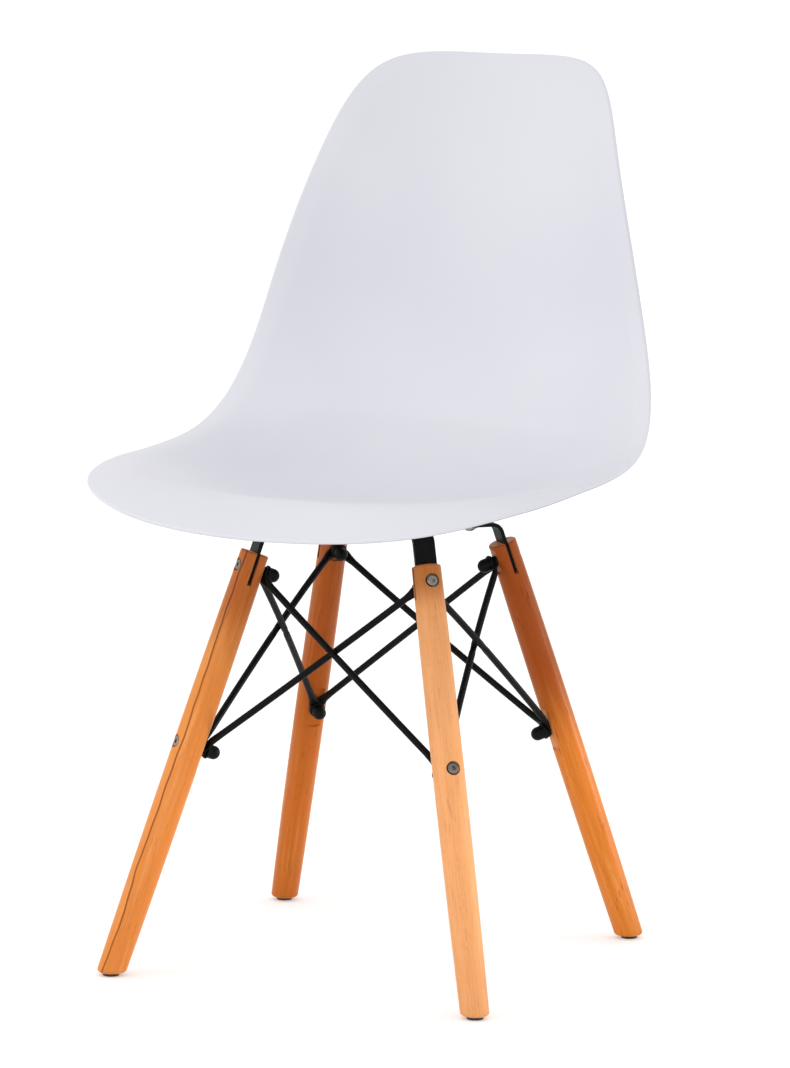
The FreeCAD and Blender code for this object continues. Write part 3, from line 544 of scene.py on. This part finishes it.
shellSizes = {
    "thickness": 4.5, "edgeRadius": 1.9,
    # side view of the middle: (Y, height over the bosses' lower ends)
    "sideLine": [(-251.0, 39.5), (-202.0, 39.0), (-158.5, 32.0), (-80.5, 18.0), (9.0, 10.0),
                 (79.0, 15.0), (135.0, 39.5), (179.0, 93.5), (201.5, 191.0), (219.0, 308.5),
                 (259.0, 408.5)],
    # half of the flat outline: (to the side, along the side line)
    "outline": [(0.0, 0.0), (98.5, 10.5), (161.5, 33.5), (201.5, 68.0), (224.5, 126.5),
                (228.5, 209.5), (224.5, 319.0), (210.0, 455.0), (181.0, 598.0), (145.5, 717.0),
                (106.5, 792.5), (0.0, 814.0)],
    # all as (place along the side line, value): how far the sides rise at the half width, and how
    # far the rim rolls down, over which width
    "sideRise": [(0.0, 17.0), (90.0, 30.0), (200.0, 46.5), (320.0, 56.0), (450.0, 59.5),
                 (600.0, 63.0), (816.0, 66.0)],
    "halfWidth": [(0.0, 225.0), (204.0, 230.0), (408.0, 222.0), (612.0, 197.0), (816.0, 170.0)],
    "sidePower": 2.4,
    "rollDepth": [(0.0, 29.5), (90.0, 18.0), (200.0, 12.0), (320.0, 9.5), (450.0, 5.5),
                  (600.0, 4.0), (816.0, 3.0)],
    "rollWidth": [(0.0, 82.0), (90.0, 50.0), (200.0, 28.0), (320.0, 20.0), (450.0, 19.0),
                  (600.0, 18.0), (816.0, 18.0)],
    "rollPower": 1.4,
    # the mesh: points on a ring, even rings from the middle out, then rings at insets from the rim
    "ringPoints": 420, "middleShare": 0.47, "evenRings": 37, "evenInset": 42.0,
    "insets": [36, 30, 25, 20.5, 16.5, 13, 10, 7.5, 5.4, 3.6, 2.6], "edgeRings": 6,
    # the trimmed rim's lower corner, which is given painted shade: from this far over the
    # underside, to this share of the thickness
    "cornerFrom": 0.05, "cornerShare": 0.4, "sharpAngle": 50,
}
nearAtOnce = 2000  # places compared with the outline at a time


def splineThrough(points, closed, steps=90):
    # smooth curve through points, sampled closely
    points = np.array(points, float)
    ring = np.vstack([points, points[:1]]) if closed else points
    gaps = np.linalg.norm(np.diff(ring, axis=0), axis=1)
    slopes = np.diff(ring, axis=0) / gaps[:, None]
    count = len(points)
    system = np.zeros((count, count))
    wanted = np.zeros((count, 2))
    for i in range(count):
        if not closed and i in (0, count - 1):
            first, second = (0, 1) if i == 0 else (-1, -2)
            share = gaps[first] / (gaps[first] + gaps[second])
            system[i, i] = 1.0
            wanted[i] = slopes[first] + (slopes[first] - slopes[second]) * share
            continue
        before, after = gaps[i - 1], gaps[i]
        system[i, (i - 1) % count] += after
        system[i, i] += 2 * (before + after)
        system[i, (i + 1) % count] += before
        wanted[i] = 3 * (after * slopes[i - 1] + before * slopes[i])
    tangents = np.linalg.solve(system, wanted)
    found = []
    share = np.linspace(0, 1, steps, endpoint=False)[:, None]
    square, cube = share ** 2, share ** 3
    for i, gap in enumerate(gaps):
        a, b = ring[i], ring[i + 1]
        ta, tb = tangents[i] * gap, tangents[(i + 1) % count] * gap
        cubic = (2 * cube - 3 * square + 1) * a + (cube - 2 * square + share) * ta
        found.append(cubic + (3 * square - 2 * cube) * b + (cube - square) * tb)
    if not closed:
        found.append(ring[-1:])
    return np.vstack(found)


def smoothBetween(stations, place):
    # smooth value between (place, value) stations, without overshoot
    x, y = np.array(stations).T
    slopes = np.diff(y) / np.diff(x)
    product = slopes[:-1] * slopes[1:]
    total = slopes[:-1] + slopes[1:]
    inner = np.where(product > 0, 2 * product / np.where(total == 0, 1, total), 0.0)
    tangents = np.concatenate([slopes[:1], inner, slopes[-1:]])
    place = np.clip(place, x[0], x[-1])
    i = np.clip(np.searchsorted(x, place, side="right") - 1, 0, len(x) - 2)
    step = x[i + 1] - x[i]
    s = (place - x[i]) / step
    value = (1 + 2 * s) * (1 - s) ** 2 * y[i] + s * s * (3 - 2 * s) * y[i + 1]
    value += s * (1 - s) ** 2 * step * tangents[i]
    return value - s * s * (1 - s) * step * tangents[i + 1]


class ShellSurface:
    # the seat and back as a height over flat (across, along) places, in millimetres
    def __init__(self, sizes):
        self.sizes = sizes
        self.line = splineThrough(sizes["sideLine"], False)
        gaps = np.linalg.norm(np.diff(self.line, axis=0), axis=1)
        self.reach = np.concatenate([[0.0], np.cumsum(gaps)])
        self.length = self.reach[-1]
        self.heading = np.gradient(self.line, self.reach, axis=0)
        self.heading /= np.linalg.norm(self.heading, axis=1)[:, None]
        self.stretch = self.length / sizes["outline"][-1][1]
        right = [(across, along * self.stretch) for across, along in sizes["outline"]]
        left = [(-across, along) for across, along in reversed(right[1:-1])]
        self.outline = splineThrough(right + left, True)

    def rimDistance(self, flat):
        # distance to the outline, above zero inside it
        found = np.empty(len(flat))
        ring = self.outline
        count = len(ring)
        for start in range(0, len(flat), nearAtOnce):
            part = flat[start:start + nearAtOnce]
            gaps = ((part[:, None, :] - ring[None, :, :]) ** 2).sum(axis=2)
            near = gaps.argmin(axis=1)
            best = None
            for a, b in (((near - 1) % count, near), (near, (near + 1) % count)):
                run = ring[b] - ring[a]
                share = ((part - ring[a]) * run).sum(axis=1) / (run ** 2).sum(axis=1)
                foot = ring[a] + run * np.clip(share, 0, 1)[:, None]
                off = part - foot
                far = np.linalg.norm(off, axis=1)
                sign = np.where(run[:, 0] * off[:, 1] - run[:, 1] * off[:, 0] > 0, 1, -1)
                if best is None:
                    best, bestSign = far, sign
                else:
                    closer = far < best
                    best = np.where(closer, far, best)
                    bestSign = np.where(closer, sign, bestSign)
            found[start:start + nearAtOnce] = best * bestSign
        return found

    def lift(self, flat):
        sizes = self.sizes
        place = flat[:, 1] / self.stretch
        out = np.abs(flat[:, 0] / smoothBetween(sizes["halfWidth"], place)) ** sizes["sidePower"]
        inside = 1 - self.rimDistance(flat) / smoothBetween(sizes["rollWidth"], place)
        power = sizes["rollPower"]
        roll = np.where(inside <= 1, np.clip(inside, 0, 1) ** power, 1 + power * (inside - 1))
        rise = smoothBetween(sizes["sideRise"], place) * out
        return rise - smoothBetween(sizes["rollDepth"], place) * roll

    def points(self, flat):
        along = np.clip(flat[:, 1], 0, self.length)
        base, heading = (
            np.stack([np.interp(along, self.reach, way[:, k]) for k in (0, 1)], axis=1)
            for way in (self.line, self.heading))
        heading /= np.linalg.norm(heading, axis=1)[:, None]
        base = base + heading * (flat[:, 1] - along)[:, None]
        lift = self.lift(flat)
        y = base[:, 0] - heading[:, 1] * lift
        z = base[:, 1] + heading[:, 0] * lift
        return np.stack([flat[:, 0], y, z], axis=1)

    def normals(self, flat, step=1.0):
        over = self.points(flat + (step, 0)) - self.points(flat - (step, 0))
        on = self.points(flat + (0, step)) - self.points(flat - (0, step))
        found = np.cross(over, on)
        return found / np.linalg.norm(found, axis=1)[:, None]


def shellRings(surface):
    # flat places and depths of every ring, from the middle of the face to that of the underside
    sizes = surface.sizes
    picked = np.linspace(0, len(surface.outline), sizes["ringPoints"], endpoint=False).astype(int)
    ring = surface.outline[picked]
    ahead = np.roll(ring, -1, axis=0) - np.roll(ring, 1, axis=0)
    inward = np.stack([-ahead[:, 1], ahead[:, 0]], axis=1) / np.linalg.norm(ahead, axis=1)[:, None]
    middle = np.array([0.0, sizes["middleShare"] * surface.length])
    inner = ring + inward * sizes["evenInset"]
    thickness, radius = sizes["thickness"], sizes["edgeRadius"]
    shares = np.linspace(0, 1, sizes["evenRings"] + 1)[1:]
    face = [(middle + (inner - middle) * share, 0.0) for share in shares]
    face += [(ring + inward * inset, 0.0) for inset in sizes["insets"]]
    edge = [(ring + inward * (radius * (1 - math.sin(turn))), radius * (1 - math.cos(turn)))
            for turn in np.linspace(0, math.pi / 2, sizes["edgeRings"])]
    back = [(flat, thickness - depth) for flat, depth in reversed(face + edge)]
    return face + edge + back, middle


def makeMesh(name, points, faces, material, replaced, sharpAngle, edge=None):
    # one new piece at the origin, riding on the chair's only body
    mesh = bpy.data.meshes.new(name)
    mesh.from_pydata([tuple(p) for p in points], [], faces)
    # the painted shade mask on the rim's lower corner, where one is given
    if edge is not None:
        mesh.attributes.new("rimPaintedShade", "FLOAT", "POINT").data.foreach_set("value", edge)
    mesh.validate()
    mesh.materials.append(material)
    mesh.shade_smooth()
    mesh.set_sharp_from_angle(angle=math.radians(sharpAngle))
    piece = bpy.data.objects.new(name, mesh)
    bpy.context.scene.collection.objects.link(piece)
    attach(piece, "root")
    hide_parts(*replaced)
    return piece


def ringNumbers(rings, count, first=0):
    # the point numbers of each ring, where rings of equal counts lie one after another
    return [[first + i * count + k for k in range(count)] for i in range(len(rings))]


def joinRings(rings, closed):
    # quads between rings, given as lists of point numbers
    faces = []
    count = len(rings[0])
    for lower, upper in zip(rings, rings[1:]):
        for i in range(count):
            j = (i + 1) % count
            faces.append((lower[i], lower[j], upper[j], upper[i]))
    if closed:
        faces.append(tuple(reversed(rings[0])))
        faces.append(tuple(rings[-1]))
    return faces


bossSizes = {
    "fixingRadius": 87.5, "radius": 10.0, "fillet": 4.0, "holeRadius": 4.5, "holeDepth": 9.5,
    "chamfer": 0.6, "turnSteps": 48, "postShares": (0.35, 0.7), "filletSteps": 6,
    # the last two rings run into the sheet: how far past the fillet, and how far up
    "rootOut": 0.5, "rootUp": (0.6, 1.6),
}


def bossPart(tree, x, y, sizes, firstPoint):
    # one boss under the seat: a round post with an insert hole, filleted into the underside, whose
    # place over each point is found in the tree
    turn = np.linspace(0, 2 * math.pi, sizes["turnSteps"], endpoint=False)
    cos, sin = np.cos(turn), np.sin(turn)
    foot = bossFoot
    radius, chamfer, fillet = (sizes[key] * mm for key in ("radius", "chamfer", "fillet"))
    hole, depth = sizes["holeRadius"] * mm, sizes["holeDepth"] * mm

    def ring(size, height):
        heights = np.full(len(turn), height) if np.isscalar(height) else height
        return np.stack([x + size * cos, y + size * sin, heights], axis=1)

    def under(size):
        heights = []
        for c, s in zip(cos, sin):
            hit = tree.ray_cast(Vector((x + size * c, y + size * s, foot)), Vector((0, 0, 1)))[0]
            heights.append(hit.z)
        return np.array(heights)

    rings = [ring(hole, foot + depth), ring(hole, foot), ring(radius - chamfer, foot),
             ring(radius, foot + chamfer)]
    top = under(radius) - fillet
    for share in sizes["postShares"]:
        rings.append(ring(radius, foot + chamfer + (top - foot - chamfer) * share))
    for step in range(sizes["filletSteps"] + 1):
        angle = math.radians(90 * step / sizes["filletSteps"])
        size = radius + fillet * (1 - math.cos(angle))
        rings.append(ring(size, under(size) - fillet * (1 - math.sin(angle))))
    widest = radius + fillet + sizes["rootOut"] * mm
    for size, up in zip((widest, radius), sizes["rootUp"]):
        rings.append(ring(size, under(size) + up * mm))
    return np.vstack(rings), joinRings(ringNumbers(rings, len(turn), firstPoint), True)


def makeShell():
    surface = ShellSurface(shellSizes)
    rings, middle = shellRings(surface)
    flats = np.vstack([flat for flat, depth in rings] + [middle[None, :]] * 2)
    depths = np.concatenate([np.full(len(flat), depth) for flat, depth in rings] +
                            [[0.0, shellSizes["thickness"]]])
    points = surface.points(flats) - surface.normals(flats) * depths[:, None]
    points = points * mm + np.array([0.0, legsMiddle.y, bossFoot])
    count = shellSizes["ringPoints"]
    numbers = ringNumbers(rings, count)
    faces = joinRings(numbers, False)
    topPole, lowPole = len(points) - 2, len(points) - 1
    for i in range(count):
        j = (i + 1) % count
        faces.append((topPole, numbers[0][j], numbers[0][i]))
        faces.append((lowPole, numbers[-1][i], numbers[-1][j]))
    faces = [tuple(reversed(face)) for face in faces]
    tree = BVHTree.FromPolygons([Vector(p) for p in points], faces)
    for angle in legAngles.values():
        turn = math.radians(angle)
        x = bossSizes["fixingRadius"] * mm * math.cos(turn)
        y = bossSizes["fixingRadius"] * mm * math.sin(turn) + legsMiddle.y
        extra, extraFaces = bossPart(tree, x, y, bossSizes, len(points))
        points = np.vstack([points, extra])
        faces += extraFaces
    # painted shade mask: one on the lower corner of the trimmed rim, nought elsewhere
    edge = np.zeros(len(points))
    toUnder = shellSizes["thickness"] - depths
    cornerTo = shellSizes["cornerShare"] * shellSizes["thickness"]
    edge[:len(depths)] = (toUnder > shellSizes["cornerFrom"]) & (toUnder < cornerTo)
    return makeMesh("shellSkin", points, faces, shellPlastic, ["seat_shell"],
                    shellSizes["sharpAngle"], edge)


shellSkin = makeShell()
print("shell made:", len(shellSkin.data.polygons), "faces")


# the brace rods, in millimetres: each ends in a flattened tab on its bolt, and bows a little where
# it passes the other

braceSizes = {
    "radius": 3.1, "gap": 0.4, "tabHalf": 5.0, "tabThick": 2.5, "tabBehind": 2.0,
    "tabAngles": (4, 20, 40, 60, 80, 90),  # degrees round the tab's end, from its tip to its side
    "bendAt": 9.0, "bendSoft": 4.5, "bendLead": 0.8, "bendShift": 0.8, "bendSteps": 8,
    "bowSteps": 14, "neck": (7.0, 17.0), "turnSteps": 24, "sharpAngle": 40,
    "tabPower": 5.0, "roundPower": 2.0,  # of the section's curve: 2 is round, and higher is squarer
    # along the leg from its top, and from its axis to the flat that the tabs lie on
    "bolts": {"upper": (15.0, 11.19), "lower": (183.5, 12.25)},
}


def boltPoint(leg, level, layer):
    # middle of a tab on its bolt, in millimetres: layer 0 lies on the leg, layer 1 on the first tab
    place, flat = braceSizes["bolts"][level]
    inset = flat + (layer + 0.5) * braceSizes["tabThick"]
    return legMatrix(leg) @ Vector((-inset * mm, 0, -place * mm)) / mm


def inwardOf(leg):
    return legMatrix(leg).to_3x3() @ Vector((-1, 0, 0))


def rodEnds(first, second, layer):
    # tab middles, bends and directions at both ends of one rod
    tabs = [boltPoint(first, "upper", layer), boltPoint(second, "lower", layer)]
    ends = []
    for here, there, leg in ((tabs[0], tabs[1], first), (tabs[1], tabs[0], second)):
        into = inwardOf(leg)
        aside = there - here
        aside = (aside - into * aside.dot(into)).normalized()
        bend = here + aside * braceSizes["bendAt"] + into * braceSizes["bendShift"]
        ends.append((here, aside, into, bend))
    return ends


def crossing(one, other):
    # share along the first rod's line of its nearest point to the second's, the common normal,
    # and the gap along it
    a, b, c, d = one[0][3], one[1][3], other[0][3], other[1][3]
    normal = (b - a).cross(d - c).normalized()
    if normal.dot(one[0][2]) < 0:
        normal.negate()
    side = (d - c).cross(normal)
    share = (c - a).dot(side) / (b - a).dot(side)
    return share, normal, (c - a).dot(normal)


def rodPath(ends, share, push):
    # points from end to end, each with the tab's half width, the distance from the bolt and the way
    # in; the run between the bends bows by push where it passes the other rod
    half, soft = braceSizes["tabHalf"], braceSizes["bendSoft"]
    bendSteps, bowSteps = braceSizes["bendSteps"], braceSizes["bowSteps"]
    samples = []
    for end, (here, aside, into, bend) in enumerate(ends):
        far = ends[1 - end][3]
        peak = share if end == 0 else 1 - share
        run = far - bend
        along = (run + push * (2.0 / peak)).normalized()
        part = []
        for angle in braceSizes["tabAngles"]:
            back = braceSizes["tabBehind"] + half * math.cos(math.radians(angle))
            part.append((here - aside * back, half * math.sin(math.radians(angle)), 0.0))
        lead = braceSizes["bendAt"] - soft - braceSizes["bendLead"]
        part.append((here + aside * lead, half, 0.0))
        before, after = bend - aside * soft, bend + along * soft
        for step in range(bendSteps + 1):
            at = step / bendSteps
            point = before * (1 - at) ** 2 + bend * (2 * at * (1 - at)) + after * at * at
            part.append((point, half, (point - here).length))
        for step in range(1, bowSteps + 1):
            at = (soft / run.length) + (peak - soft / run.length) * step / bowSteps
            point = bend + run * at + push * (1 - ((at - peak) / peak) ** 2)
            part.append((point, half, (point - here).length))
        samples.append([(point, width, away, into) for point, width, away in part])
    # both halves end where the bow is widest, and that point is kept once
    return samples[0] + samples[1][-2::-1]


def makeBrace(name, path):
    # sweep a section that goes from a flat bar at the tabs to a round rod
    low, high = braceSizes["neck"]
    turn = np.linspace(0, 2 * math.pi, braceSizes["turnSteps"], endpoint=False)
    cos, sin = np.cos(turn), np.sin(turn)
    radius = braceSizes["radius"]
    rings = []
    for index, (point, width, away, into) in enumerate(path):
        ahead = path[min(index + 1, len(path) - 1)][0] - path[max(index - 1, 0)][0]
        ahead.normalize()
        thick = (into - ahead * into.dot(ahead)).normalized()
        wide = thick.cross(ahead)
        share = min(max((away - low) / (high - low), 0.0), 1.0)
        share = share * share * (3 - 2 * share)
        halfWide = width + (radius - width) * share
        halfThick = braceSizes["tabThick"] / 2 * (1 - share) + radius * share
        power = 2 / (braceSizes["tabPower"] * (1 - share) + braceSizes["roundPower"] * share)
        across = (halfWide * np.sign(cos) * np.abs(cos) ** power)[:, None]
        up = (halfThick * np.sign(sin) * np.abs(sin) ** power)[:, None]
        rings.append(np.array(point) + across * np.array(wide) + up * np.array(thick))
    faces = joinRings(ringNumbers(rings, len(turn)), True)
    makeMesh(name + "_rod", np.vstack(rings) * mm, faces, coated["blackSteel"],
             [name], braceSizes["sharpAngle"])


def makeBraces():
    legs = list(legAngles)
    wanted = 2 * braceSizes["radius"] + braceSizes["gap"]
    for side, first, second in zip(("front", "right", "back", "left"), legs, legs[1:] + legs[:1]):
        outer, inner = rodEnds(first, second, 0), rodEnds(second, first, 1)
        share, normal, gap = crossing(outer, inner)
        otherShare = crossing(inner, outer)[0]
        push = normal * max(0.0, (wanted - gap) / 2)
        makeBrace("brace_%s_outer" % side, rodPath(outer, share, -push))
        makeBrace("brace_%s_inner" % side, rodPath(inner, otherShare, push))
        print("braces", side, "gap before bow %.2f mm" % gap)


makeBraces()


# studio

# floor and world; the floor's radius is in metres
studioSizes = {"worldLight": 0.93, "floorColor": "f4f4f4", "floorGlow": 0.28, "floorRough": 0.9,
               "floorRadius": 40.0, "floorSides": 96}


def seenPlainly(t):
    # one for what the camera sees straight, in a reflection or through glass, nought for the light
    rays = t.add("ShaderNodeLightPath").outputs
    return t.math("MAXIMUM", rays["Is Camera Ray"],
                  t.math("MAXIMUM", rays["Is Glossy Ray"], rays["Is Transmission Ray"]))


def makeStudio(look):
    # pale floor and world: white to the camera and to reflections, plain light for the rest
    world = bpy.data.worlds.new("studioWorld")
    bpy.context.scene.world = world
    world.use_nodes = True
    world.node_tree.nodes.clear()
    t = Tree(world.node_tree)
    values = {"Value": seenPlainly(t), "To Min": look["worldLight"], "To Max": 1.0}
    strength = t.add("ShaderNodeMapRange", values).outputs[0]
    background = t.add("ShaderNodeBackground", {"Color": (1, 1, 1, 1), "Strength": strength})
    out = t.add("ShaderNodeOutputWorld")
    t.link(background.outputs[0], out.inputs[0])

    material, t, shader = newMaterial("studioFloor")[:3]
    setConstants(shader, {"Base Color": hexColor(look["floorColor"]),
                          "Roughness": look["floorRough"], "Specular IOR Level": 0.0,
                          "Emission Color": (1, 1, 1, 1)})
    glow = t.math("MULTIPLY", seenPlainly(t), look["floorGlow"])
    t.link(glow, shader.inputs["Emission Strength"])
    count, radius = look["floorSides"], look["floorRadius"]
    turns = [2 * math.pi * i / count for i in range(count)]
    ring = [(radius * math.cos(turn), radius * math.sin(turn), 0.0) for turn in turns]
    mesh = bpy.data.meshes.new("studioFloor")
    mesh.from_pydata(ring, [], [tuple(range(count))])
    mesh.materials.append(material)
    floor = bpy.data.objects.new("studioFloor", mesh)
    bpy.context.scene.collection.objects.link(floor)


# soft lights, each aimed at a height over the middle of the floor: metres, degrees and watts
lampLooks = {
    "keyLamp": {"place": (-2.6, -2.5, 1.1), "aim": 0.45, "size": (1.8, 1.8), "spread": 180.0,
                "power": 18.0, "color": "fffdfb"},
    "legLamp": {"place": (1.3, -3.4, 0.3), "aim": 0.13, "size": (0.8, 0.2), "spread": 8.0,
                "power": 0.12, "color": "fffaf5"},
    "edgeLamp": {"place": (2.7, 1.5, 0.3), "aim": 0.13, "size": (0.8, 0.2), "spread": 8.0,
                 "power": 0.28, "color": "fffaf5"},
    "lipLamp": {"place": (2.4, -2.6, 0.25), "aim": 0.43, "size": (1.6, 0.1), "spread": 5.0,
                "power": 0.055, "color": "fbfbff"},
}


def makeLamp(name, look):
    lamp = bpy.data.lights.new(name, "AREA")
    lamp.shape = "RECTANGLE"
    lamp.size, lamp.size_y = look["size"]
    lamp.spread = math.radians(look["spread"])
    lamp.energy = look["power"]
    lamp.color = hexColor(look["color"])[:3]
    holder = bpy.data.objects.new(name, lamp)
    bpy.context.scene.collection.objects.link(holder)
    holder.location = look["place"]
    aim = Vector((0, 0, look["aim"])) - Vector(look["place"])
    holder.rotation_euler = aim.to_track_quat("-Z", "Y").to_euler()


def makeCamera(look):
    side, right, up, back = cameraAxes(look)
    aim = legsMiddle + side * look["sideways"] + Vector((0, 0, look["aimHeight"]))
    place = aim + back * look["distance"]
    lens = bpy.data.cameras.new("photoCamera")
    lens.sensor_fit = "VERTICAL"
    lens.sensor_height = look["sensor"]
    lens.lens = look["lens"]
    lens.clip_end = look["clipEnd"]
    camera = bpy.data.objects.new("photoCamera", lens)
    turned = Matrix((right, up, back)).transposed().to_4x4()
    camera.matrix_world = Matrix.Translation(place) @ turned
    bpy.context.scene.collection.objects.link(camera)
    bpy.context.scene.camera = camera


makeStudio(studioSizes)
for name, look in lampLooks.items():
    makeLamp(name, look)
makeCamera(cameraSizes)
bpy.context.scene.view_settings.view_transform = "Standard"
print("studio made")
